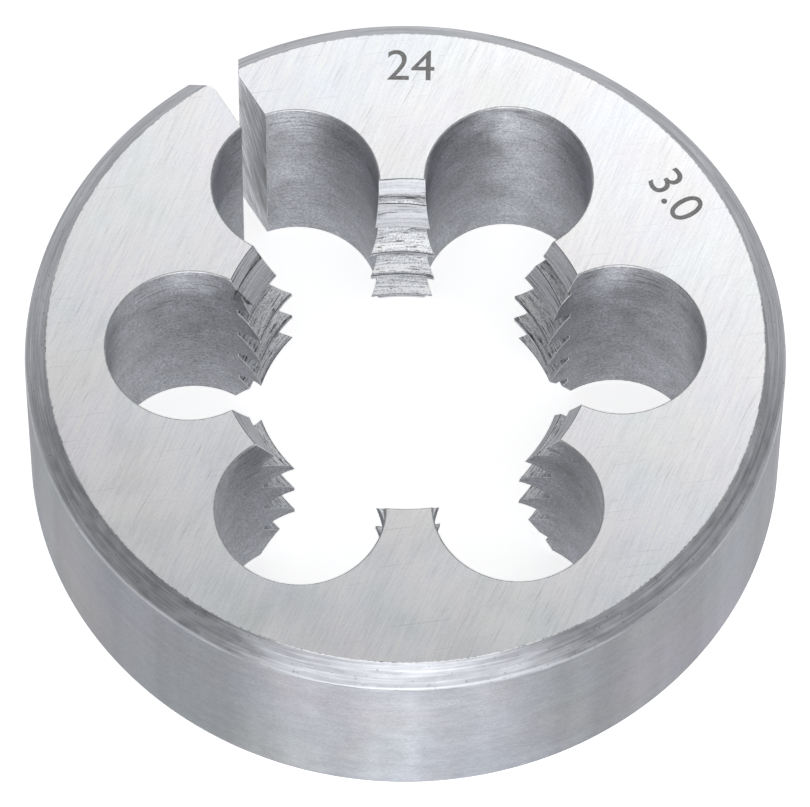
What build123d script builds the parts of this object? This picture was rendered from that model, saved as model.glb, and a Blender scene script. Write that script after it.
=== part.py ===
from build123d import *
import math
import os

# A round split threading die: one hardened disc with a threaded bore, chip holes round it,
# and a slot that lets it spring. The origin is the centre of the bottom face, +Z runs up the
# bore to the marked face, and +Y points at the slot.

# Disc
outside_diameter = 50.8
thickness = 15.875
chamfer_width = 1.44
top_chamfer_height = 1.23
bottom_chamfer_height = 1.11
rim_corner_radius = 0.45

# Right-hand thread, cut on the inner ends of the lands between the chip holes
thread_diameter = 24.0
thread_pitch = 3.0
flank_half_angle = 30.0
root_clearance = 0.1
crest_depth_per_pitch = 0.613
root_flat_per_pitch = 0.125
thread_start_angle = 118.0

# Lead-in cones at both ends of the thread, each opening a little wider than the thread
lead_in_half_angle = 27.0
top_lead_in_oversize = 0.6
bottom_lead_in_oversize = 0.45

# Chip holes, through both faces. Each runs a little way inside the thread's crests, so it
# opens into the bore and leaves the cutting edges of two lands.
chip_hole_count = 6
chip_hole_radius = 5.61
chip_hole_break_in = 1.41
edge_break = 0.08
edge_break_half_angle = 45.0

# Slot from one chip hole out to the rim, with a V mouth for the spreading screw
slot_width = 1.85
slot_angle = 90.0
mouth_depth = 1.9
mouth_half_angle = 30.0

# Conical spots in the rim, for the clamping screws either side of the slot
spot_spread_angle = 45.0
spot_radius = 2.4
spot_half_angle = 45.0

# How far a cut runs past the surface that it opens
past = 1.0
groove_overrun = 0.25

rim_radius = outside_diameter / 2
land_spacing = 360 / chip_hole_count
root_radius = thread_diameter / 2 + root_clearance
crest_radius = thread_diameter / 2 - crest_depth_per_pitch * thread_pitch
top_lead_in_radius = thread_diameter / 2 + top_lead_in_oversize
bottom_lead_in_radius = thread_diameter / 2 + bottom_lead_in_oversize
chip_circle_radius = crest_radius - chip_hole_break_in + chip_hole_radius


def tangent(degrees):
    return math.tan(math.radians(degrees))


def blank():
    """The plain disc: ground faces and rim, a chamfer at each end with a soft corner on the rim."""
    face_radius = rim_radius - chamfer_width
    outline = Polyline(
        (0, 0, 0),
        (face_radius, 0, 0),
        (rim_radius, 0, bottom_chamfer_height),
        (rim_radius, 0, thickness - top_chamfer_height),
        (face_radius, 0, thickness),
        (0, 0, thickness),
        close=True,
    )
    section = make_face(outline)
    rim_corners = section.vertices().filter_by_position(Axis.X, rim_radius, rim_radius)
    return revolve(fillet(rim_corners, rim_corner_radius), Axis.Z)


def cone_cut(mouth_radius, half_angle, end_radius):
    """A cone that opens a face at z = 0 to mouth_radius and narrows downwards to end_radius."""
    depth = (mouth_radius - end_radius) / tangent(half_angle)
    outer_radius = mouth_radius + past * tangent(half_angle)
    cone = Cone(end_radius, outer_radius, depth + past, align=(Align.CENTER, Align.CENTER, Align.MIN))
    return Pos(0, 0, -depth) * cone


def both_faces(top_cut, bottom_cut):
    """One cut set on the marked face and one turned over on the bottom face."""
    return [Pos(0, 0, thickness) * top_cut, Rot(180, 0, 0) * bottom_cut]


def groove_piece():
    """A short stretch of the thread's helical groove, from the middle of one chip hole to the next."""
    inner_radius = crest_radius - groove_overrun
    root_half_width = root_flat_per_pitch * thread_pitch / 2
    inner_half_width = root_half_width + (root_radius - inner_radius) * tangent(flank_half_angle)
    section = make_face(
        Polyline(
            (inner_radius, 0, -inner_half_width),
            (root_radius, 0, -root_half_width),
            (root_radius, 0, root_half_width),
            (inner_radius, 0, inner_half_width),
            close=True,
        )
    )
    rise = thread_pitch * land_spacing / 360
    groove = sweep(section, path=Helix(thread_pitch, rise, root_radius), is_frenet=True)
    return Pos(0, 0, -rise / 2) * Rot(0, 0, -land_spacing / 2) * groove


def cut_thread(body):
    """The right-hand groove cut into every land, one land at a time, turn above turn."""
    piece = groove_piece()
    for land in range(chip_hole_count):
        land_angle = slot_angle + (land + 0.5) * land_spacing
        lowest = thread_pitch * ((land_angle - thread_start_angle) / 360 % 1 - 1)
        turns = math.ceil(thickness / thread_pitch) + 2
        heights = [lowest + turn * thread_pitch for turn in range(turns)]
        body = body - [Pos(0, 0, height) * Rot(0, 0, land_angle) * piece for height in heights]
    return body


def bore_cut():
    """The bore at the thread's crests, flaring into the lead-in cone at each end."""
    flare = tangent(lead_in_half_angle)
    bottom_end = (bottom_lead_in_radius - crest_radius) / flare
    top_start = thickness - (top_lead_in_radius - crest_radius) / flare
    outline = Polyline(
        (0, 0, -past),
        (bottom_lead_in_radius + past * flare, 0, -past),
        (crest_radius, 0, bottom_end),
        (crest_radius, 0, top_start),
        (top_lead_in_radius + past * flare, 0, thickness + past),
        (0, 0, thickness + past),
        close=True,
    )
    return revolve(make_face(outline), Axis.Z)


def chip_hole_cuts():
    """The ring of chip holes, each with its edge just broken at both faces."""
    hole = Cylinder(chip_hole_radius, thickness + 2 * past, align=(Align.CENTER, Align.CENTER, Align.MIN))
    edge = cone_cut(chip_hole_radius + edge_break, edge_break_half_angle, chip_hole_radius)
    one_hole = [Pos(0, 0, -past) * hole] + both_faces(edge, edge)
    ring = PolarLocations(chip_circle_radius, chip_hole_count, start_angle=slot_angle)
    return [place * cut for place in ring for cut in one_hole]


def slot_cut():
    """The slot seen from above: parallel walls, then a V mouth that opens at the rim."""
    mouth_start = rim_radius - mouth_depth
    outer_end = rim_radius + past
    half_slot = slot_width / 2
    half_mouth = half_slot + (mouth_depth + past) * tangent(mouth_half_angle)
    outline = Polyline(
        (chip_circle_radius, -half_slot),
        (mouth_start, -half_slot),
        (outer_end, -half_mouth),
        (outer_end, half_mouth),
        (mouth_start, half_slot),
        (chip_circle_radius, half_slot),
        close=True,
    )
    prism = extrude(make_face(outline), thickness + 2 * past)
    return Rot(0, 0, slot_angle) * Pos(0, 0, -past) * prism


def spot_cuts():
    """Two conical screw spots at mid-height on the rim, one each side of the slot."""
    depth = spot_radius / tangent(spot_half_angle)
    cone = Cone(
        0,
        spot_radius + past * tangent(spot_half_angle),
        depth + past,
        rotation=(0, 90, 0),
        align=(Align.CENTER, Align.CENTER, Align.MIN),
    )
    spot = Pos(rim_radius - depth, 0, thickness / 2) * cone
    return [Rot(0, 0, slot_angle + side * spot_spread_angle) * spot for side in (-1, 1)]


def die_body():
    """The disc with its openings cut, then its thread. Its seam line is turned into the slot."""
    body = Rot(0, 0, slot_angle) * (blank() - bore_cut())
    for cut in chip_hole_cuts() + [slot_cut()] + spot_cuts():
        body = body - cut
    return cut_thread(body)


os.makedirs("parts", exist_ok=True)
export_step(die_body(), "parts/die_body.step")
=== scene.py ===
"""Dresses the round threading die in its ground, turned and reamed steel, and sets its stage."""

import math

import bpy
from bpy.props import FloatProperty, FloatVectorProperty, IntProperty, PointerProperty, StringProperty
from mathutils import Matrix, Vector


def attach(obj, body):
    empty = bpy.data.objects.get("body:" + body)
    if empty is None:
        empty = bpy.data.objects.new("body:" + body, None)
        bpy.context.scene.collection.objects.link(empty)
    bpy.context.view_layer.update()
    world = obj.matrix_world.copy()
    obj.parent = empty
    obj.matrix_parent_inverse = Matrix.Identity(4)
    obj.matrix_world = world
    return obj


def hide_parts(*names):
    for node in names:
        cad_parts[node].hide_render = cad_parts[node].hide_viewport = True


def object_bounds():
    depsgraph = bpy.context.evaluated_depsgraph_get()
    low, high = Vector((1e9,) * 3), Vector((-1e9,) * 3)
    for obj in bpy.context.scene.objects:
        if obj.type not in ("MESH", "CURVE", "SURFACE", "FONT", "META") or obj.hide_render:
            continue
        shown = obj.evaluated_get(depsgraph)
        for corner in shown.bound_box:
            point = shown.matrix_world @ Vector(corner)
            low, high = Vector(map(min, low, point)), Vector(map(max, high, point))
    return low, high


bl_info = {
    "name": "Round Threading Die",
    "version": (1, 0, 0),
    "blender": (4, 5, 0),
    "location": "3D View > Sidebar > Threading Die",
    "description": "Builds a round split threading die with its steel finishes, and a plain studio round it",
    "category": "Object",
}

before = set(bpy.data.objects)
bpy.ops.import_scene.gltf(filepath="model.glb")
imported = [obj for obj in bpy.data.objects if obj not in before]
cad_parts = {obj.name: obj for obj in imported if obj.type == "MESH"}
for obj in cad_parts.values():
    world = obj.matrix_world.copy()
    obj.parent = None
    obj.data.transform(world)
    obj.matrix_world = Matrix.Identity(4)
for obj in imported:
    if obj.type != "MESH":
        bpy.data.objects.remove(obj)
CAD_LOW, CAD_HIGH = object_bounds()
MM = 0.001


def length(name, description, millimetres):
    """A length property, shown in the scene's units and given here in millimetres."""
    return FloatProperty(
        name=name, description=description, default=millimetres * MM, unit="LENGTH", precision=5
    )


def angle(name, description, degrees):
    """An angle property, given here in degrees."""
    return FloatProperty(name=name, description=description, default=math.radians(degrees), subtype="ANGLE")


def colour(name, description, grey, cool=0.0):
    """A colour property, given as a linear grey and how much bluer than grey it is."""
    return FloatVectorProperty(
        name=name,
        description=description,
        default=(grey * (1 - cool / 3), grey, min(grey * (1 + cool), 1)),
        min=0,
        max=1,
        subtype="COLOR",
    )


class DieShape(bpy.types.PropertyGroup):
    """The die's sizes. Each is also an input of the Geometry Nodes tree that makes the die."""

    outside_diameter: length("Outside Diameter", "Across the ground rim", (CAD_HIGH.x - CAD_LOW.x) / MM)
    thickness: length("Thickness", "Between the two ground faces", (CAD_HIGH.z - CAD_LOW.z) / MM)
    chamfer_width: length("Chamfer Width", "How far each chamfer runs in from the rim", 1.44)
    top_chamfer_height: length("Top Chamfer Height", "How far the top chamfer runs down the rim", 1.23)
    bottom_chamfer_height: length(
        "Bottom Chamfer Height", "How far the bottom chamfer runs up the rim", 1.11
    )
    rim_corner_radius: length("Rim Corner Radius", "Soft corner between each chamfer and the rim", 0.45)
    thread_diameter: length("Thread Diameter", "Nominal diameter of the thread that the die cuts", 24)
    thread_pitch: length("Thread Pitch", "Rise of the right-hand thread in one turn", 3)
    thread_root_clearance: length(
        "Thread Root Clearance", "How far the groove runs outside the nominal", 0.1
    )
    thread_depth: length("Thread Depth", "From the nominal diameter in to the teeth's crests", 1.839)
    thread_root_flat: length("Thread Root Flat", "Width of the flat at the bottom of the groove", 0.375)
    flank_angle: angle("Flank Angle", "Half the angle between two flanks of the thread", 30)
    thread_start: angle("Thread Start", "Where the groove's middle crosses the bottom face", 118)
    lead_in_angle: angle("Lead-in Angle", "Half the angle of the cone at each end of the thread", 27)
    top_lead_in: length("Top Lead-in", "How far the top cone opens past the nominal radius", 0.6)
    bottom_lead_in: length("Bottom Lead-in", "How far the bottom cone opens past the nominal radius", 0.45)
    chip_holes: IntProperty(
        name="Chip Holes", description="Number of chip holes round the bore", default=6, min=3
    )
    chip_hole_radius: length("Chip Hole Radius", "Radius of each chip hole", 5.61)
    chip_hole_break_in: length("Chip Hole Break-in", "How far each chip hole runs inside the crests", 1.41)
    edge_break: length("Edge Break", "Width of the broken edge round each chip hole", 0.08)
    slot_width: length("Slot Width", "Between the slot's two walls", 1.85)
    mouth_depth: length("Mouth Depth", "How far the slot's V mouth runs in from the rim", 1.9)
    mouth_angle: angle("Mouth Angle", "Half the angle of the V mouth", 30)
    spot_radius: length("Spot Radius", "Radius of each screw spot at the rim", 2.4)
    spot_spread: angle("Spot Spread", "From the slot round to each screw spot", 45)
    mark_height: length("Mark Height", "Height of the etched numbers", 3.4)
    mark_depth: length("Mark Depth", "Depth of the etched numbers", 0.02)
    mark_circle_radius: length("Mark Circle Radius", "From the axis to the middle of each number", 21.35)
    size_mark_angle: angle("Size Mark Angle", "Where the size number stands on the face", 58)
    pitch_mark_angle: angle("Pitch Mark Angle", "Where the pitch number stands on the face", 1)
    size_mark: StringProperty(
        name="Size Mark", description="Plain number for the thread's diameter", default="24"
    )
    pitch_mark: StringProperty(
        name="Pitch Mark", description="Plain number for the thread's pitch", default="3.0"
    )
    soft_edge: length("Soft Edge", "Width of the worn edge between two surfaces", 0.035)


class DieFinish(bpy.types.PropertyGroup):
    """The steel's colour for each way of cutting it, and which way the faces are ground. The greys differ
    partly with the finish and partly as painted light and shade: the faces are set lighter, and the rim and
    chamfers darker, than the one steel's own.
    """

    # Painted light and shade: the faces' grey is set lighter, and the rim's and chamfers' darker, than the
    # steel would be, for how light falls on them
    ground_colour: colour("Ground Steel", "Faces off the surface grinder, and worn edges", 0.94, 0.03)
    rim_colour: colour("Rim Steel", "The cylindrically ground rim, and broken edges", 0.35, 0.07)
    turned_colour: colour("Turned Steel", "The chamfers at the rim", 0.36, 0.07)
    lead_in_colour: colour("Lead-in Steel", "Lead-in cones and screw spots", 0.62, 0.05)
    reamed_colour: colour("Reamed Steel", "Walls of the chip holes", 0.45, 0.07)
    thread_colour: colour("Cut Thread", "Flanks and crests of the teeth", 0.87, 0.05)
    slot_colour: colour("Sawn Slot", "Walls of the slot", 0.53, 0.06)
    mark_colour: colour("Etched Mark", "Floor of the etched numbers", 0.34)
    grind_angle: angle("Grinding Direction", "Which way the grinding lines run across the faces", 30)


class DieStage(bpy.types.PropertyGroup):
    """The camera, as it stood for the photograph, and the plain studio."""

    camera_distance: length("Camera Distance", "From the camera to its aim", 595.7)
    camera_aim_height: length("Aim Height", "Height on the die's axis that the camera is aimed at", 7.389)
    camera_bearing: angle("Camera Bearing", "Where the camera stands round the die, from +X", -121.44)
    camera_elevation: angle("Camera Elevation", "How high the camera looks down from", 61.206)
    camera_roll: angle("Camera Roll", "Clockwise lean of the camera's picture", 0.454)
    camera_lens: FloatProperty(name="Lens", description="Focal length in millimetres", default=392.66, min=1)
    floor_colour: colour("Floor", "The pale floor and the backdrop", 0.85)
    floor_glow: FloatProperty(
        name="Floor Glow", description="How white the floor near the die looks", default=0.7, min=0
    )
    world_level: FloatProperty(
        name="World Level", description="Even light from all round", default=0.18, min=0
    )


class Nodes:
    """Adds nodes to one tree. What feeds a socket is a constant, a node, a socket or a Number."""

    def __init__(self, tree):
        self.tree = tree

    def feed(self, socket, value):
        if isinstance(value, Number):
            value = value.socket
        if isinstance(value, bpy.types.Node):
            value = next(output for output in value.outputs if output.enabled)
        if isinstance(value, bpy.types.NodeSocket):
            self.tree.links.new(value, socket)
        else:
            socket.default_value = value

    def add(self, kind, inputs=None, **settings):
        node = self.tree.nodes.new(kind)
        for name, value in settings.items():
            setattr(node, name, value)
        for name, value in (inputs or {}).items():
            self.feed(node.inputs[name], value)
        return node

    def maths(self, operation, *values):
        node = self.add("ShaderNodeMath", dict(enumerate(values)), operation=operation)
        return Number(self, node.outputs[0])

    def vector(self, x=0.0, y=0.0, z=0.0):
        return self.add("ShaderNodeCombineXYZ", {"X": x, "Y": y, "Z": z})

    def three_numbers(self, vector):
        split = self.add("ShaderNodeSeparateXYZ", {0: vector})
        return [Number(self, split.outputs[axis]) for axis in "XYZ"]


class Number:
    """A number in a node tree. Arithmetic on it adds Math nodes to the tree."""

    def __init__(self, nodes, socket):
        self.nodes = nodes
        self.socket = socket

    def __add__(self, other):
        return self.nodes.maths("ADD", self, other)

    def __radd__(self, other):
        return self.nodes.maths("ADD", other, self)

    def __sub__(self, other):
        return self.nodes.maths("SUBTRACT", self, other)

    def __rsub__(self, other):
        return self.nodes.maths("SUBTRACT", other, self)

    def __mul__(self, other):
        return self.nodes.maths("MULTIPLY", self, other)

    def __rmul__(self, other):
        return self.nodes.maths("MULTIPLY", other, self)

    def __truediv__(self, other):
        return self.nodes.maths("DIVIDE", self, other)

    def __neg__(self):
        return self.nodes.maths("MULTIPLY", self, -1)


def put_in_scene(name, data):
    """A new object with the given data, linked into the scene."""
    made = bpy.data.objects.new(name, data)
    bpy.context.scene.collection.objects.link(made)
    return made


# Geometry: the die as a ring that is turned, bored, drilled, slotted, threaded and marked

# Each cut runs past the surface that it opens by PAST, and the groove past the crests by its own overrun
PAST = 1.0 * MM
GROOVE_OVERRUN = 0.25 * MM
CORE_RADIUS = 3.0 * MM
TURNING_RADIUS = 1.0 * MM
RIM_SEGMENTS = 240
BORE_SEGMENTS = 144
HOLE_SEGMENTS = 96
GROOVE_SEGMENTS = 144
CORNER_POINTS = 5
SPARE_TURNS = 2
WELD = 1e-8
SHARP_EDGE = math.radians(20)
LEVEL_FACE = 0.99
UPRIGHT_FACE = 0.01
SLOT_ANGLE = math.radians(90)


def pick(nodes, kind, values):
    """A field that gives the point with each index its own value."""
    index = nodes.add("GeometryNodeInputIndex")
    switch = nodes.add("GeometryNodeIndexSwitch", {0: index}, data_type=kind)
    while len(switch.index_switch_items) < len(values):
        switch.index_switch_items.new()
    for place, value in enumerate(values):
        nodes.feed(switch.inputs[place + 1], value)
    return switch


def outline(nodes, corners):
    """A closed outline with straight sides through the corners, each given as x and y."""
    spots = pick(nodes, "VECTOR", [nodes.vector(x, y) for x, y in corners])
    points = nodes.add("GeometryNodePoints", {"Count": len(corners), "Position": spots})
    line = nodes.add("GeometryNodePointsToCurves", {"Points": points})
    return nodes.add("GeometryNodeSetSplineCyclic", {0: line, "Cyclic": True})


def revolve(nodes, section, segments):
    """Turns a section, drawn as radius and height, round the Z axis."""
    inward = nodes.vector(-TURNING_RADIUS)
    centred = nodes.add("GeometryNodeTransform", {"Geometry": section, "Translation": inward})
    round_path = {"Resolution": segments, "Radius": TURNING_RADIUS}
    circle = nodes.add("GeometryNodeCurvePrimitiveCircle", round_path)
    ring = nodes.add("GeometryNodeCurveToMesh", {"Curve": circle, "Profile Curve": centred})
    upright = nodes.add("GeometryNodeTransform", {"Geometry": ring, "Rotation": (math.pi, 0, 0)})
    return nodes.add("GeometryNodeMergeByDistance", {"Geometry": upright, "Distance": WELD})


def prism(nodes, section, bottom, top):
    """A straight-walled solid that stands on a section in plan."""
    ends = {"Start": nodes.vector(z=bottom), "End": nodes.vector(z=top)}
    rise = nodes.add("GeometryNodeCurvePrimitiveLine", ends)
    return nodes.add("GeometryNodeCurveToMesh", {"Curve": rise, "Profile Curve": section, "Fill Caps": True})


def turn_about_axis(nodes, geometry, turn, move=None):
    """Moves a geometry, then turns it round the Z axis."""
    if move:
        geometry = nodes.add("GeometryNodeTransform", {"Geometry": geometry, "Translation": move})
    return nodes.add("GeometryNodeTransform", {"Geometry": geometry, "Rotation": nodes.vector(z=turn)})


def finished(nodes, geometry, material, where=True):
    """Gives the chosen faces a material."""
    inputs = {"Geometry": geometry, "Selection": where, "Material": material}
    return nodes.add("GeometryNodeSetMaterial", inputs)


def levelness(nodes):
    """How level each face is: 1 lying flat, and 0 upright."""
    return nodes.maths("ABSOLUTE", nodes.three_numbers(nodes.add("GeometryNodeInputNormal"))[2])


def with_sloping_ends(nodes, cut, wall, ends):
    """Gives a turned cut one material on its upright wall and another where it slopes."""
    sloping = nodes.maths("GREATER_THAN", levelness(nodes), UPRIGHT_FACE)
    return finished(nodes, finished(nodes, cut, wall), ends, sloping)


def blank(nodes, size, steel):
    """The turned ring before anything is cut: ground faces and rim, chamfers, soft rim corners."""
    rim = size["outside_diameter"] / 2
    face = rim - size["chamfer_width"]
    top = size["thickness"]
    corners = [
        (CORE_RADIUS, 0),
        (face, 0),
        (rim, size["bottom_chamfer_height"]),
        (rim, top - size["top_chamfer_height"]),
        (face, top),
        (CORE_RADIUS, top),
    ]
    soft = size["rim_corner_radius"]
    radii = pick(nodes, "FLOAT", [0, 0, soft, soft, 0, 0])
    fillet = {"Curve": outline(nodes, corners), "Count": CORNER_POINTS, "Radius": radii}
    section = nodes.add("GeometryNodeFilletCurve", fillet, mode="POLY")
    ring = revolve(nodes, section, RIM_SEGMENTS)
    level = levelness(nodes)
    turned = finished(nodes, ring, steel["chamfer"])
    faced = finished(nodes, turned, steel["face"], nodes.maths("GREATER_THAN", level, LEVEL_FACE))
    return finished(nodes, faced, steel["rim"], nodes.maths("LESS_THAN", level, UPRIGHT_FACE))


def crest_radius(size):
    """From the axis to the teeth's crests."""
    return size["thread_diameter"] / 2 - size["thread_depth"]


def bore(nodes, size, steel):
    """The hole at the teeth's crests, with a lead-in cone at each end."""
    crest = crest_radius(size)
    flare = nodes.maths("TANGENT", size["lead_in_angle"])
    top = size["thickness"]
    top_mouth = size["thread_diameter"] / 2 + size["top_lead_in"]
    bottom_mouth = size["thread_diameter"] / 2 + size["bottom_lead_in"]
    corners = [
        (0, -PAST),
        (bottom_mouth + PAST * flare, -PAST),
        (crest, (bottom_mouth - crest) / flare),
        (crest, top - (top_mouth - crest) / flare),
        (top_mouth + PAST * flare, top + PAST),
        (0, top + PAST),
    ]
    cut = revolve(nodes, outline(nodes, corners), BORE_SEGMENTS)
    return with_sloping_ends(nodes, cut, steel["thread"], steel["lead_in"])


def chip_hole_ring(nodes, size, steel):
    """One chip hole with its edge broken at both faces, repeated round the axis."""
    radius, edge, top = size["chip_hole_radius"], size["edge_break"], size["thickness"]
    corners = [
        (0, -PAST),
        (radius + edge + PAST, -PAST),
        (radius, edge),
        (radius, top - edge),
        (radius + edge + PAST, top + PAST),
        (0, top + PAST),
    ]
    cut = revolve(nodes, outline(nodes, corners), HOLE_SEGMENTS)
    one_hole = with_sloping_ends(nodes, cut, steel["chip_hole"], steel["broken_edge"])
    from_axis = crest_radius(size) - size["chip_hole_break_in"] + radius
    ring = nodes.add("GeometryNodeMeshCircle", {"Vertices": size["chip_holes"], "Radius": from_axis})
    places = turn_about_axis(nodes, ring, SLOT_ANGLE)
    holes = nodes.add("GeometryNodeInstanceOnPoints", {"Points": places, "Instance": one_hole})
    return nodes.add("GeometryNodeRealizeInstances", {"Geometry": holes})


def slot(nodes, size, steel):
    """The slot in plan: parallel walls from one chip hole out, then a V mouth at the rim."""
    rim = size["outside_diameter"] / 2
    inner_end = crest_radius(size) - size["chip_hole_break_in"] + size["chip_hole_radius"]
    half_slot = size["slot_width"] / 2
    half_mouth = half_slot + (size["mouth_depth"] + PAST) * nodes.maths("TANGENT", size["mouth_angle"])
    mouth_start = rim - size["mouth_depth"]
    corners = [
        (inner_end, -half_slot),
        (mouth_start, -half_slot),
        (rim + PAST, -half_mouth),
        (rim + PAST, half_mouth),
        (mouth_start, half_slot),
        (inner_end, half_slot),
    ]
    cut = prism(nodes, outline(nodes, corners), -PAST, size["thickness"] + PAST)
    return finished(nodes, turn_about_axis(nodes, cut, SLOT_ANGLE), steel["slot"])


def thread_groove(nodes, size, steel):
    """The right-hand groove between the teeth: its section swept up a helix past both faces."""
    pitch = size["thread_pitch"]
    root = size["thread_diameter"] / 2 + size["thread_root_clearance"]
    inner = crest_radius(size) - GROOVE_OVERRUN
    half_root = size["thread_root_flat"] / 2
    half_inner = half_root + (root - inner) * nodes.maths("TANGENT", size["flank_angle"])
    corners = [(inner - root, -half_inner), (0, -half_root), (0, half_root), (inner - root, half_inner)]
    turns = nodes.maths("CEIL", size["thickness"] / pitch) + SPARE_TURNS
    helix = {
        "Resolution": GROOVE_SEGMENTS,
        "Rotations": turns,
        "Start Radius": root,
        "End Radius": root,
        "Height": turns * pitch,
        "Reverse": True,
    }
    spiral = nodes.add("GeometryNodeCurveSpiral", helix)
    level = nodes.add("GeometryNodeSetCurveNormal", {0: spiral}, mode="Z_UP")
    sweep = {"Curve": level, "Profile Curve": outline(nodes, corners), "Fill Caps": True}
    groove = nodes.add("GeometryNodeCurveToMesh", sweep)
    placed = turn_about_axis(nodes, groove, size["thread_start"], nodes.vector(z=-pitch))
    return finished(nodes, placed, steel["thread"])


def screw_spots(nodes, size, steel):
    """The two conical spots in the rim, one each side of the slot."""
    rim, radius = size["outside_diameter"] / 2, size["spot_radius"]
    deep = radius + PAST
    cone = {"Vertices": HOLE_SEGMENTS, "Radius Top": deep, "Radius Bottom": 0, "Depth": deep}
    upright = nodes.add("GeometryNodeMeshCone", cone)
    lying = nodes.add("GeometryNodeTransform", {"Geometry": upright, "Rotation": (0, math.pi / 2, 0)})
    out = nodes.vector(rim - radius, 0, size["thickness"] / 2)
    both = [
        turn_about_axis(nodes, lying, SLOT_ANGLE + side * size["spot_spread"], out)
        for side in (-1, 1)
    ]
    joined = nodes.add("GeometryNodeJoinGeometry")
    for spot in both:
        nodes.feed(joined.inputs[0], spot)
    return finished(nodes, joined, steel["lead_in"])


def etched_number(nodes, size, steel, text, bearing):
    """A plain number sunk into the top face, its head towards the rim."""
    depth = size["mark_depth"]
    words = nodes.add(
        "GeometryNodeStringToCurves",
        {"String": text, "Size": size["mark_height"]},
        align_x="CENTER",
        align_y="MIDDLE",
    )
    curves = nodes.add("GeometryNodeRealizeInstances", {"Geometry": words})
    bottom = nodes.add("GeometryNodeFillCurve", {"Curve": curves}, mode="NGONS")
    extrude = {"Mesh": bottom, "Offset": nodes.vector(z=depth + PAST), "Individual": False}
    walls = nodes.add("GeometryNodeExtrudeMesh", extrude)
    turned_over = nodes.add("GeometryNodeFlipFaces", {"Mesh": bottom})
    joined = nodes.add("GeometryNodeJoinGeometry")
    for part in (walls, turned_over):
        nodes.feed(joined.inputs[0], part)
    solid = nodes.add("GeometryNodeMergeByDistance", {"Geometry": joined, "Distance": WELD})
    head_out = nodes.add("GeometryNodeTransform", {"Geometry": solid, "Rotation": (0, 0, -math.pi / 2)})
    out = nodes.vector(size["mark_circle_radius"], 0, size["thickness"] - depth)
    return finished(nodes, turn_about_axis(nodes, head_out, bearing, out), steel["mark"])


def edges_marked(nodes, geometry, steel):
    """Shades the die smooth but for its sharp edges, which get a bevel weight, except those of the marks."""
    smoothing = {"Geometry": geometry, "Shade Smooth": True}
    smooth = nodes.add("GeometryNodeSetShadeSmooth", smoothing, domain="FACE")
    turn = nodes.add("GeometryNodeInputMeshEdgeAngle").outputs["Unsigned Angle"]
    sharp = nodes.maths("GREATER_THAN", turn, SHARP_EDGE)
    creasing = {"Geometry": smooth, "Selection": sharp, "Shade Smooth": False}
    creased = nodes.add("GeometryNodeSetShadeSmooth", creasing, domain="EDGE")
    marked = nodes.add("GeometryNodeMaterialSelection", {"Material": steel["mark"]})
    weight = sharp * nodes.maths("SUBTRACT", 1.0, marked)
    storing = {"Geometry": creased, "Name": "bevel_weight_edge", "Value": weight}
    return nodes.add("GeometryNodeStoreNamedAttribute", storing, data_type="FLOAT", domain="EDGE")


def die_tree(steel):
    """The Geometry Nodes tree of the whole die, with every size of DieShape as an input."""
    tree = bpy.data.node_groups.new("Round threading die", "GeometryNodeTree")
    nodes = Nodes(tree)
    entry = tree.nodes.new("NodeGroupInput")
    kinds = {
        FloatProperty: "NodeSocketFloat",
        IntProperty: "NodeSocketInt",
        StringProperty: "NodeSocketString",
    }
    size = {}
    for name, note in DieShape.__annotations__.items():
        title = note.keywords["name"]
        tree.interface.new_socket(title, in_out="INPUT", socket_type=kinds[note.function])
        size[name] = Number(nodes, entry.outputs[title])
    tree.interface.new_socket("Die", in_out="OUTPUT", socket_type="NodeSocketGeometry")
    cuts = [
        bore(nodes, size, steel),
        chip_hole_ring(nodes, size, steel),
        slot(nodes, size, steel),
        thread_groove(nodes, size, steel),
        screw_spots(nodes, size, steel),
        etched_number(nodes, size, steel, size["size_mark"], size["size_mark_angle"]),
        etched_number(nodes, size, steel, size["pitch_mark"], size["pitch_mark_angle"]),
    ]
    cut_out = nodes.add("GeometryNodeMeshBoolean", {0: blank(nodes, size, steel)}, solver="EXACT")
    for cut in cuts:
        nodes.feed(cut_out.inputs["Mesh 2"], cut)
    welded = nodes.add("GeometryNodeMergeByDistance", {"Geometry": cut_out, "Distance": WELD})
    marked = edges_marked(nodes, welded, steel)
    realized = nodes.add("GeometryNodeRealizeInstances", {"Geometry": marked})
    leave = tree.nodes.new("NodeGroupOutput")
    nodes.feed(leave.inputs["Die"], realized)
    return tree


def run_tree(name, tree, sizes):
    """A new object whose modifier runs the tree with the given sizes."""
    piece = put_in_scene(name, bpy.data.meshes.new(name))
    modifier = piece.modifiers.new("Shape", "NODES")
    modifier.node_group = tree
    inputs = [item for item in tree.interface.items_tree if item.in_out == "INPUT"]
    for item, size in zip(inputs, sizes.__annotations__):
        modifier[item.identifier] = getattr(sizes, size)
    return piece


def make_plain(piece):
    """Turns what the piece's modifiers make into its own mesh, and removes them."""
    evaluated = piece.evaluated_get(bpy.context.evaluated_depsgraph_get())
    old = piece.data
    piece.data = bpy.data.meshes.new_from_object(evaluated)
    piece.modifiers.clear()
    bpy.data.meshes.remove(old)


# Steel: one finish for each way that the die's surfaces are cut, some with painted shade and highlights

ALONG_THE_AXIS = (0, 0, 1)
NOISE_LOW, NOISE_HIGH = 0.3, 0.7
STAND_OUT = 0.05
SLOT_LINE_SLOPE = 0.48
TOOTH_LINE_SLOPE = 0.5
STAIN_OFFSET = 0.1

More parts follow.
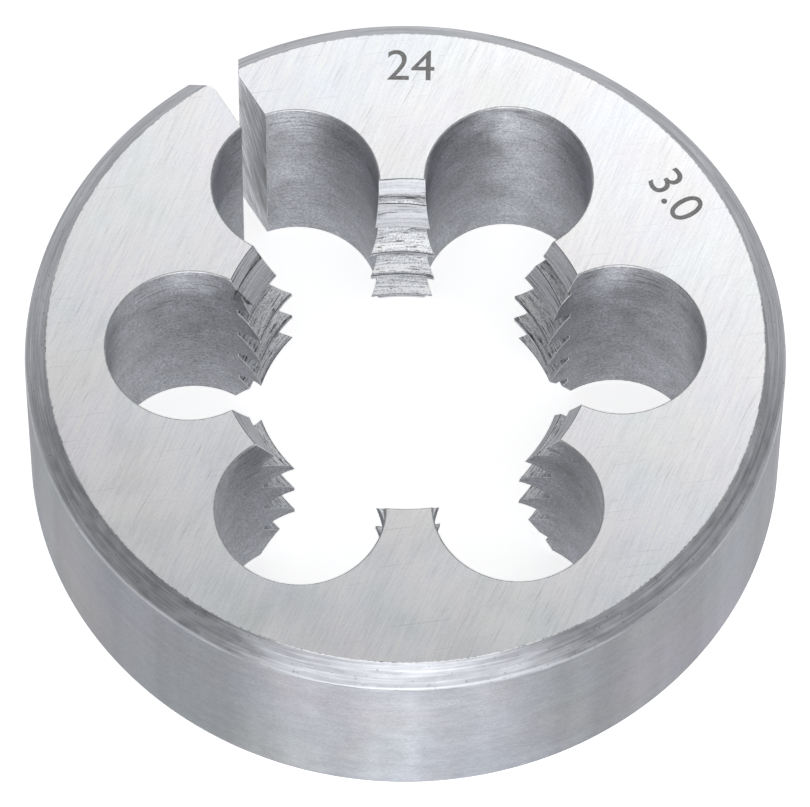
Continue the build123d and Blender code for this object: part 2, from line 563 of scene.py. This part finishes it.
# Radii over which a finish, or the shade or highlight painted into it, changes, from the axis out, and
# heights, from the bottom face up
CREST_RADII = (10.2 * MM, 10.35 * MM)
ROOT_SHADE_RADII = (10.7 * MM, 12 * MM)
BORE_EDGE_RADII = (12.5 * MM, 12.9 * MM)
FACE_EDGE_RADII = (23 * MM, 23.5 * MM)
RIM_EDGE_RADII = (24.6 * MM, 25 * MM)
HOLE_HEIGHTS = (2 * MM, 14 * MM)
STREAK_HEIGHTS = (9 * MM, 15 * MM)
TOP_TOOTH_HEIGHTS = (14.5 * MM, 15.5 * MM)


def steel_finish(name):
    """A bare steel with no pattern yet: its material, its nodes and its shader."""
    material = bpy.data.materials.new(name)
    material.use_nodes = True
    shader = material.node_tree.nodes["Principled BSDF"]
    shader.inputs["Metallic"].default_value = 1.0
    return material, Nodes(material.node_tree), shader


def coat(nodes, shader, shaded, roughness):
    """Gives the steel its varying colour and roughness."""
    nodes.feed(shader.inputs["Base Color"], shaded)
    nodes.feed(shader.inputs["Roughness"], roughness)


def cut_across(nodes, shader, across, amount):
    """Spreads the gloss across the cutting lines, as they do."""
    shader.inputs["Anisotropic"].default_value = amount
    nodes.feed(shader.inputs["Tangent"], nodes.vector(*across))


def object_place(nodes):
    """The surface point on the object, as three Numbers."""
    return nodes.three_numbers(nodes.add("ShaderNodeTexCoord").outputs["Object"])


def from_the_axis(nodes, x, y):
    """How far a point is from the die's axis."""
    return nodes.maths("SQRT", x * x + y * y)


def grain(nodes, vector):
    """Soft noise round a half, one unit of the vector to a blotch."""
    noise = nodes.add("ShaderNodeTexNoise", {"Vector": vector, "Scale": 1.0, "Detail": 2.0})
    return Number(nodes, noise.outputs[0])


def speckle(nodes, x, y, z, size):
    """The same noise all ways round, with blotches of one size."""
    return grain(nodes, nodes.vector(x / size, y / size, z / size))


def straight_lines(nodes, place, bearing, spacing, reach, seed):
    """Straight lines on the flat, one bearing, with their spacing and how far each one reaches."""
    turned = nodes.add("ShaderNodeMapping", {"Vector": place, "Rotation": (0, 0, -bearing)})
    stretch = {"Vector": turned, "Location": (seed, seed, 0), "Scale": (1 / reach, 1 / spacing, 0)}
    return grain(nodes, nodes.add("ShaderNodeMapping", stretch))


def turned_lines(nodes, x, y, across, spacing, reach):
    """Lines that run round the axis, told apart by the measure taken across them."""
    return grain(nodes, nodes.vector(x / reach, y / reach, across / spacing))


def ramp(nodes, value, start, end, low=0.0, high=1.0):
    """A number that goes from low to high, and no further, as the value goes from start to end."""
    span = {"Value": value, "From Min": start, "From Max": end, "To Min": low, "To Max": high}
    return Number(nodes, nodes.add("ShaderNodeMapRange", span).outputs["Result"])


def blend(nodes, pattern, low, high):
    """A number from low to high as a noise goes from nearly its least to nearly its most."""
    return ramp(nodes, pattern, NOISE_LOW, NOISE_HIGH, low, high)


def standing_out(nodes, pattern, threshold):
    """1 where a noise stands out above the threshold, such as in a scratch or a pit, and 0 elsewhere."""
    return ramp(nodes, pattern, threshold, threshold + STAND_OUT)


def shade(nodes, colour_of, factor):
    """A colour times a varying number."""
    inputs = {0: colour_of, "Scale": factor}
    return nodes.add("ShaderNodeVectorMath", inputs, operation="SCALE")


def faintly_stained(nodes, x, y, z, shaded, size, strength):
    """A colour with faint warm and cool clouds over it."""
    red, blue = (
        blend(nodes, speckle(nodes, x, y, height, size), 1 - strength, 1 + strength)
        for height in (z, z + STAIN_OFFSET)
    )
    cast = nodes.vector(red, 1.0, blue)
    return nodes.add("ShaderNodeVectorMath", {0: shaded, 1: cast}, operation="MULTIPLY")


def relief(nodes, shader, height):
    """Gives the surface a relief, from its height in metres."""
    nodes.feed(shader.inputs["Normal"], nodes.add("ShaderNodeBump", {"Height": height, "Distance": 1.0}))


def ground_face_steel(finish):
    """Faces off the surface grinder: straight lines, fine and broad, with stray scratches across them."""
    material, nodes, shader = steel_finish("Ground face steel")
    x, y, z = object_place(nodes)
    place, bearing = nodes.vector(x, y, z), finish.grind_angle
    fine = straight_lines(nodes, place, bearing, 0.09 * MM, 2.5 * MM, 3.0)
    clear = straight_lines(nodes, place, bearing + math.radians(9), 0.2 * MM, 4 * MM, 7.0)
    broad = straight_lines(nodes, place, bearing + math.radians(14), 0.7 * MM, 8 * MM, 11.0)
    stray = straight_lines(nodes, place, bearing - math.radians(52), 0.14 * MM, 5 * MM, 17.0)
    deep = straight_lines(nodes, place, bearing + math.radians(3), 0.12 * MM, 4 * MM, 23.0)
    cloud = speckle(nodes, x, y, z, 3 * MM)
    speck = speckle(nodes, x, y, z, 0.16 * MM)
    lines = blend(nodes, fine, 0.95, 1.05) * blend(nodes, clear, 0.95, 1.05)
    lines = lines * blend(nodes, broad, 0.98, 1.02)
    patches = blend(nodes, cloud, 0.97, 1.03) * blend(nodes, speck, 0.96, 1.04)
    scratched = 1.0 - (standing_out(nodes, stray, 0.66) * 0.12 + standing_out(nodes, deep, 0.66) * 0.2)
    shaded = shade(nodes, finish.ground_colour, lines * patches * scratched)
    stained = faintly_stained(nodes, x, y, z, shaded, 6 * MM, 0.025)
    coat(nodes, shader, stained, blend(nodes, cloud, 0.29, 0.33))
    relief(nodes, shader, clear * (0.002 * MM) + cloud * (0.003 * MM))
    across = bearing + math.pi / 2
    cut_across(nodes, shader, (math.cos(across), math.sin(across), 0), 0.6)
    return material


def turned_chamfer_steel(finish):
    """The chamfers: clear turned lines round the axis, scuffed and pitted here and there."""
    material, nodes, shader = steel_finish("Turned chamfer steel")
    x, y, z = object_place(nodes)
    fine = turned_lines(nodes, x, y, z, 0.06 * MM, 5 * MM)
    clear = turned_lines(nodes, x, y, z, 0.2 * MM, 8 * MM)
    scuff = turned_lines(nodes, x, y, z, 0.4 * MM, 1.5 * MM)
    pit = speckle(nodes, x, y, z, 0.22 * MM)
    lines = blend(nodes, fine, 0.82, 1.18) * blend(nodes, clear, 0.8, 1.2)
    lines = lines * blend(nodes, scuff, 0.85, 1.15)
    pitted = 1.0 - standing_out(nodes, pit, 0.66) * 0.35
    shaded = shade(nodes, finish.turned_colour, lines * pitted)
    coat(nodes, shader, shaded, blend(nodes, scuff, 0.32, 0.44))
    relief(nodes, shader, fine * (0.003 * MM) + clear * (0.012 * MM) + scuff * (0.012 * MM))
    cut_across(nodes, shader, ALONG_THE_AXIS, 0.7)
    return material


def ground_rim_steel(finish):
    """The rim off the cylindrical grinder: satin, with a fine grain round it."""
    material, nodes, shader = steel_finish("Ground rim steel")
    x, y, z = object_place(nodes)
    fine = turned_lines(nodes, x, y, z, 0.1 * MM, 0.6 * MM)
    broad = turned_lines(nodes, x, y, z, 0.6 * MM, 10 * MM)
    cloud = speckle(nodes, x, y, z, 1.6 * MM)
    speck = speckle(nodes, x, y, z, 0.18 * MM)
    bands = grain(nodes, nodes.vector(x / (3.5 * MM), y / (3.5 * MM), z / (60 * MM)))
    level = blend(nodes, fine, 0.93, 1.07) * blend(nodes, broad, 0.96, 1.04)
    level = level * blend(nodes, cloud, 0.94, 1.06) * blend(nodes, speck, 0.92, 1.08)
    shaded = shade(nodes, finish.rim_colour, level * blend(nodes, bands, 0.9, 1.1))
    stained = faintly_stained(nodes, x, y, z, shaded, 9 * MM, 0.04)
    coat(nodes, shader, stained, blend(nodes, cloud, 0.42, 0.48))
    relief(nodes, shader, fine * (0.001 * MM) + speck * (0.002 * MM) + cloud * (0.006 * MM))
    cut_across(nodes, shader, ALONG_THE_AXIS, 0.96)
    return material


def reamed_hole_steel(finish):
    """Walls of the chip holes: dark and gritty, with streaks round them and cloudy patches."""
    material, nodes, shader = steel_finish("Reamed hole steel")
    x, y, z = object_place(nodes)
    rings = turned_lines(nodes, x, y, z, 0.16 * MM, 1.8 * MM)
    streak = turned_lines(nodes, x, y, z, 0.25 * MM, 2.5 * MM)
    grit = speckle(nodes, x, y, z, 0.16 * MM)
    cloud = turned_lines(nodes, x, y, z, 2.6 * MM, 2.6 * MM)
    level = blend(nodes, rings, 0.9, 1.1) * blend(nodes, grit, 0.74, 1.26)
    level = level * blend(nodes, cloud, 0.76, 1.24) * ramp(nodes, z, *HOLE_HEIGHTS, 1.04, 0.96)
    near_top = ramp(nodes, z, *STREAK_HEIGHTS, 0.08, 0.38)
    streaked = 1.0 - standing_out(nodes, streak, 0.6) * near_top
    shaded = shade(nodes, finish.reamed_colour, level * streaked)
    coat(nodes, shader, shaded, blend(nodes, cloud, 0.42, 0.55))
    relief(nodes, shader, grit * (0.02 * MM) + rings * (0.008 * MM) + cloud * (0.05 * MM))
    cut_across(nodes, shader, ALONG_THE_AXIS, 0.85)
    return material


def edge_wear_and_painted_light_steel(finish):
    """The narrow worn edge between two surfaces: nicked; bright towards the rim and on the teeth's cutting
    edges, partly from wear and partly as painted highlight; with painted shade at the rim's own corner, and
    painted shade along the thread, where it is also rougher.
    """
    material, nodes, shader = steel_finish("Edge wear and painted light steel")
    x, y, z = object_place(nodes)
    nick = speckle(nodes, x, y, z, 0.25 * MM)
    reach = from_the_axis(nodes, x, y)
    in_bore = ramp(nodes, reach, *BORE_EDGE_RADII, 1.0, 0.0)
    wear_and_highlight_past_holes = ramp(nodes, reach, *FACE_EDGE_RADII)
    painted_shade_at_rim_corner = ramp(nodes, reach, *RIM_EDGE_RADII)
    normal_x, normal_y, normal_z = nodes.three_numbers(
        nodes.add("ShaderNodeNewGeometry").outputs["True Normal"]
    )
    sideways = nodes.maths("ABSOLUTE", (normal_x * y - normal_y * x) / reach)
    cutting = ramp(nodes, sideways, 0.15, 0.35)
    tilted = ramp(nodes, nodes.maths("ABSOLUTE", normal_z), 0.15, 0.4)
    rough_and_shaded_thread_edge = in_bore * tilted * (1.0 - cutting)
    # Painted highlight, partly wear: the edges past the chip holes and the teeth's cutting edges are made
    # lighter
    level = blend(nodes, nick, 0.42, 0.65) + wear_and_highlight_past_holes * blend(nodes, nick, -0.1, 0.7)
    level = level + in_bore * cutting * blend(nodes, nick, 0.4, 0.7)
    # Painted shade: darker at the rim's corner and along the thread
    level = level * (1.0 - painted_shade_at_rim_corner * 0.55) * (1.0 - rough_and_shaded_thread_edge * 0.8)
    roughness = blend(nodes, nick, 0.5, 0.29) + rough_and_shaded_thread_edge * 0.3
    coat(nodes, shader, shade(nodes, finish.ground_colour, level), roughness)
    shader.inputs["Specular Tint"].default_value = (0.6, 0.6, 0.6, 1)
    return material


def broken_edge_steel(finish):
    """The narrow broken edge round each chip hole: smoother than the wall, with small nicks."""
    material, nodes, shader = steel_finish("Broken edge steel")
    x, y, z = object_place(nodes)
    nick = speckle(nodes, x, y, z, 0.3 * MM)
    shaded = shade(nodes, finish.rim_colour, blend(nodes, nick, 0.75, 1.25))
    coat(nodes, shader, shaded, blend(nodes, nick, 0.29, 0.4))
    return material


def thread_steel(finish):
    """Flanks and crests of the teeth: torn lines along the thread; painted shade darkens it towards its root
    and on its crest, which is also rougher.
    """
    material, nodes, shader = steel_finish("Cut thread steel")
    x, y, z = object_place(nodes)
    reach = from_the_axis(nodes, x, y)
    across = reach + z * TOOTH_LINE_SLOPE
    lines = turned_lines(nodes, x, y, across, 0.14 * MM, 3 * MM)
    torn = turned_lines(nodes, x, y, across, 0.1 * MM, 0.9 * MM)
    grit = speckle(nodes, x, y, z, 0.11 * MM)
    level = blend(nodes, lines, 0.7, 1.3) * blend(nodes, grit, 0.64, 1.36)
    # Painted shade: darker towards the groove's root, as shade falls in the recess
    level = level * ramp(nodes, reach, *ROOT_SHADE_RADII, 1.05, 0.65)
    level = level * ramp(nodes, z, *TOP_TOOTH_HEIGHTS, 1.0, 0.7)
    tears = 1.0 - standing_out(nodes, torn, 0.59) * 0.7
    # Painted shade on the crest, which is also made rougher
    rough_and_shaded_crest = ramp(nodes, reach, *CREST_RADII, 1.0, 0.0)
    shaded = shade(nodes, finish.thread_colour, level * tears * (1.0 - rough_and_shaded_crest * 0.3))
    coat(nodes, shader, shaded, blend(nodes, grit, 0.42, 0.56) + rough_and_shaded_crest * 0.25)
    shader.inputs["Specular Tint"].default_value = (0.4, 0.4, 0.4, 1)
    relief(nodes, shader, lines * (0.012 * MM) + grit * (0.014 * MM))
    cut_across(nodes, shader, ALONG_THE_AXIS, 0.5)
    return material


def lead_in_steel(finish):
    """Lead-in cones and screw spots: turned lines, some of them deep."""
    material, nodes, shader = steel_finish("Turned lead-in steel")
    x, y, z = object_place(nodes)
    lines = turned_lines(nodes, x, y, z, 0.16 * MM, 6 * MM)
    deep = turned_lines(nodes, x, y, z, 0.12 * MM, 3 * MM)
    grit = speckle(nodes, x, y, z, 0.14 * MM)
    level = blend(nodes, lines, 0.82, 1.18) * blend(nodes, grit, 0.88, 1.12)
    scored = 1.0 - standing_out(nodes, deep, 0.62) * 0.55
    shaded = shade(nodes, finish.lead_in_colour, level * scored)
    coat(nodes, shader, shaded, blend(nodes, grit, 0.6, 0.7))
    relief(nodes, shader, lines * (0.01 * MM) + grit * (0.005 * MM))
    cut_across(nodes, shader, ALONG_THE_AXIS, 0.3)
    return material


def slot_steel(finish):
    """Walls of the slot: streaks that run down it aslant, and dark smears."""
    material, nodes, shader = steel_finish("Sawn slot steel")
    x, y, z = object_place(nodes)
    along, down = y - z * SLOT_LINE_SLOPE, z + y * SLOT_LINE_SLOPE
    streaks = grain(nodes, nodes.vector(x / (2 * MM), along / (0.22 * MM), down / (2.5 * MM)))
    smear = grain(nodes, nodes.vector(x / (2 * MM), along / (1.1 * MM), down / (3.5 * MM)))
    grit = speckle(nodes, x, y, z, 0.15 * MM)
    level = blend(nodes, streaks, 0.6, 1.4) * blend(nodes, smear, 0.4, 1.4)
    shaded = shade(nodes, finish.slot_colour, level * blend(nodes, grit, 0.88, 1.12))
    coat(nodes, shader, shaded, blend(nodes, smear, 0.35, 0.5))
    relief(nodes, shader, streaks * (0.012 * MM) + grit * (0.006 * MM))
    return material


def mark_steel(finish):
    """Floor of the etched numbers: matt and dark, a little uneven."""
    material, nodes, shader = steel_finish("Etched mark steel")
    x, y, z = object_place(nodes)
    speck = speckle(nodes, x, y, z, 0.14 * MM)
    shaded = shade(nodes, finish.mark_colour, blend(nodes, speck, 0.7, 1.3))
    coat(nodes, shader, shaded, blend(nodes, speck, 0.5, 0.7))
    relief(nodes, shader, speck * (0.01 * MM))
    return material


def steel_finishes(finish):
    """Every finish of the die by the surface that has it."""
    return {
        "face": ground_face_steel(finish),
        "chamfer": turned_chamfer_steel(finish),
        "rim": ground_rim_steel(finish),
        "chip_hole": reamed_hole_steel(finish),
        "broken_edge": broken_edge_steel(finish),
        "thread": thread_steel(finish),
        "lead_in": lead_in_steel(finish),
        "slot": slot_steel(finish),
        "mark": mark_steel(finish),
        "edge_wear_and_painted_light": edge_wear_and_painted_light_steel(finish),
    }


def wear_edges(piece, width, material):
    """Rounds the weighted edges off a little, each with the worn edge's own material, which holds painted
    highlights and shade.
    """
    piece.data.materials.append(material)
    worn = piece.modifiers.new("Worn edges", "BEVEL")
    worn.limit_method = "WEIGHT"
    worn.width = width
    worn.segments = 2
    worn.material = len(piece.data.materials) - 1
    worn.use_clamp_overlap = False
    worn.harden_normals = True
    make_plain(piece)


class DIE_OT_make_body(bpy.types.Operator):
    """Make the die from its sizes, with a finish for each way that its steel is cut"""

    bl_idname = "die.make_body"
    bl_label = "Make the Die"

    def execute(self, context):
        shape = context.scene.die_shape
        steel = steel_finishes(context.scene.die_finish)
        piece = run_tree("threading_die", die_tree(steel), shape)
        make_plain(piece)
        wear_edges(piece, shape.soft_edge, steel["edge_wear_and_painted_light"])
        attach(piece, "root")
        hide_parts("die_body")
        return {"FINISHED"}


# Stage: camera, floor and lamps

FLOOR_REACH = 1.3
FLOOR_DROP = 0.02 * MM
FLOOR_SIDES = 48
GLOW_REACHES = (0.2, 1.0)
BACKDROP_BEND = 0.25
BACKDROP_HEIGHT = 0.35
BEND_STEPS = 6
SOFTBOX_DISTANCE = 0.6

# Each softbox: bearing from the camera's side, anticlockwise seen from above, and height, both in
# degrees, then width and height of its cloth in metres and how bright it is. The brightnesses were
# first fitted to tones measured in the photograph, then rounded and changed
SOFTBOXES = {
    "Lowest front softbox": (0, 10, 0.7, 0.2, 3.0),
    "Low front centre softbox": (0, 12, 0.2, 0.2, 3.3),
    "Low front softbox": (0, 25, 0.7, 0.2, 1.55),
    "Front softbox": (0, 40, 0.7, 0.2, 1.15),
    "High front softbox": (0, 60, 0.6, 0.2, 0.85),
    "Highest front softbox": (0, 76, 0.3, 0.08, 0.6),
    "Right softbox": (70, 38, 0.5, 0.2, 1.0),
    "Left softbox": (290, 38, 0.5, 0.2, 0.3),
    "Low back right softbox": (135, 15, 0.4, 0.2, 0.35),
    "Low back left softbox": (225, 15, 0.4, 0.2, 0.2),
    "Low back softbox": (180, 15, 0.4, 0.2, 1.35),
    "Middle back softbox": (180, 36, 0.5, 0.16, 0.7),
    "High back softbox": (181, 55, 0.5, 0.1, 1.28),
    "High back right softbox": (151, 59, 0.3, 0.12, 0.9),
    "Overhead softbox": (0, 87, 0.35, 0.35, 0.4),
}


def direction(bearing, elevation):
    """The way from the die towards a bearing and an elevation."""
    flat = math.cos(elevation)
    return Vector((math.cos(bearing) * flat, math.sin(bearing) * flat, math.sin(elevation)))


def photograph_camera(stage):
    """The camera, where it stood for the photograph."""
    roll = stage.camera_roll
    back = direction(stage.camera_bearing, stage.camera_elevation)
    level_right = Vector((0, 0, 1)).cross(back).normalized()
    level_up = back.cross(level_right)
    right = level_right * math.cos(roll) + level_up * math.sin(roll)
    up = back.cross(right)
    data = bpy.data.cameras.new("Photograph camera")
    data.lens = stage.camera_lens
    data.clip_start = stage.camera_distance / 20
    data.clip_end = stage.camera_distance * 20
    camera = put_in_scene("Photograph camera", data)
    spot = Vector((0, 0, stage.camera_aim_height)) + back * stage.camera_distance
    turn = Matrix((right, up, back)).transposed().to_4x4()
    camera.matrix_world = Matrix.Translation(spot) @ turn
    bpy.context.scene.camera = camera


def softbox(name, bearing, elevation, width, height, brightness):
    """A soft lamp aimed at the die's foot."""
    data = bpy.data.lights.new(name, "AREA")
    data.shape = "RECTANGLE"
    data.size = width
    data.size_y = height
    data.energy = brightness * math.pi * width * height
    lamp = put_in_scene(name, data)
    out = direction(bearing, elevation)
    lamp.location = out * SOFTBOX_DISTANCE
    lamp.rotation_mode = "QUATERNION"
    lamp.rotation_quaternion = out.to_track_quat("Z", "Y")


def emptied_nodes(owner):
    """The nodes of a new material or world, with none in its tree yet."""
    owner.use_nodes = True
    owner.node_tree.nodes.clear()
    return Nodes(owner.node_tree)


def pale_backdrop(stage):
    """Matt and pale, and plain white where the camera, a reflection or glass sees it from afar."""
    material = bpy.data.materials.new("Pale backdrop")
    nodes = emptied_nodes(material)
    x, y, _ = object_place(nodes)
    glow = ramp(nodes, from_the_axis(nodes, x, y), *GLOW_REACHES, stage.floor_glow, 1.0)
    rays = nodes.add("ShaderNodeLightPath").outputs
    seen = nodes.maths("MAXIMUM", rays["Is Camera Ray"], rays["Is Glossy Ray"])
    seen = nodes.maths("MAXIMUM", seen, rays["Is Transmission Ray"])
    shown = nodes.add("ShaderNodeEmission", {"Color": (1, 1, 1, 1), "Strength": seen * glow})
    matt = nodes.add("ShaderNodeBsdfDiffuse", {"Color": (*stage.floor_colour, 1)})
    both = nodes.add("ShaderNodeAddShader", {0: matt, 1: shown})
    nodes.add("ShaderNodeOutputMaterial", {"Surface": both})
    return material


def floor_and_backdrop(stage):
    """A wide pale floor, a hair below the die, that turns up into a low backdrop all round."""
    turns = [math.radians(90 * step / BEND_STEPS) for step in range(BEND_STEPS + 1)]
    section = [
        (FLOOR_REACH + BACKDROP_BEND * math.sin(turn), BACKDROP_BEND * (1 - math.cos(turn)))
        for turn in turns
    ]
    section.append((FLOOR_REACH + BACKDROP_BEND, BACKDROP_HEIGHT))
    points, faces = [Vector((0, 0, -FLOOR_DROP))], []
    for reach, height in section:
        out = Vector((reach, 0, height - FLOOR_DROP))
        for side in range(FLOOR_SIDES):
            points.append(Matrix.Rotation(math.tau * side / FLOOR_SIDES, 3, "Z") @ out)
    for side in range(FLOOR_SIDES):
        after = (side + 1) % FLOOR_SIDES
        faces.append((0, 1 + side, 1 + after))
        for ring in range(len(section) - 1):
            here, outer = 1 + ring * FLOOR_SIDES, 1 + (ring + 1) * FLOOR_SIDES
            faces.append((here + side, outer + side, outer + after, here + after))
    mesh = bpy.data.meshes.new("Floor and backdrop")
    mesh.from_pydata(points, [], faces)
    mesh.shade_smooth()
    mesh.materials.append(pale_backdrop(stage))
    put_in_scene("Floor and backdrop", mesh)


def studio_world(stage):
    """Even pale light from all round."""
    world = bpy.data.worlds.new("Studio")
    bpy.context.scene.world = world
    nodes = emptied_nodes(world)
    light = nodes.add("ShaderNodeBackground", {"Color": (1, 1, 1, 1), "Strength": stage.world_level})
    nodes.add("ShaderNodeOutputWorld", {"Surface": light})


class DIE_OT_set_stage(bpy.types.Operator):
    """Set up the camera of the photograph, the pale floor and the soft lamps"""

    bl_idname = "die.set_stage"
    bl_label = "Set the Stage"

    def execute(self, context):
        stage = context.scene.die_stage
        context.scene.view_settings.view_transform = "Standard"
        photograph_camera(stage)
        floor_and_backdrop(stage)
        studio_world(stage)
        for name, (bearing, elevation, *cloth) in SOFTBOXES.items():
            softbox(name, stage.camera_bearing + math.radians(bearing), math.radians(elevation), *cloth)
        return {"FINISHED"}


class DIE_PT_panel(bpy.types.Panel):
    """The die's buttons and sizes in the 3D view's sidebar"""

    bl_idname = "DIE_PT_panel"
    bl_label = "Round Threading Die"
    bl_space_type = "VIEW_3D"
    bl_region_type = "UI"
    bl_category = "Threading Die"

    def draw(self, context):
        for operator in OPERATORS:
            self.layout.operator(operator.bl_idname)
        for group in (context.scene.die_shape, context.scene.die_finish, context.scene.die_stage):
            box = self.layout.box()
            for name in group.__annotations__:
                box.prop(group, name)


OPERATORS = (DIE_OT_make_body, DIE_OT_set_stage)
CLASSES = (DieShape, DieFinish, DieStage, *OPERATORS, DIE_PT_panel)


def register():
    for each in CLASSES:
        bpy.utils.register_class(each)
    bpy.types.Scene.die_shape = PointerProperty(type=DieShape)
    bpy.types.Scene.die_finish = PointerProperty(type=DieFinish)
    bpy.types.Scene.die_stage = PointerProperty(type=DieStage)


def unregister():
    del bpy.types.Scene.die_stage
    del bpy.types.Scene.die_finish
    del bpy.types.Scene.die_shape
    for each in reversed(CLASSES):
        bpy.utils.unregister_class(each)


def main():
    """Builds everything in order."""
    register()
    bpy.ops.die.make_body()
    bpy.ops.die.set_stage()


if __name__ == "__main__":
    main()
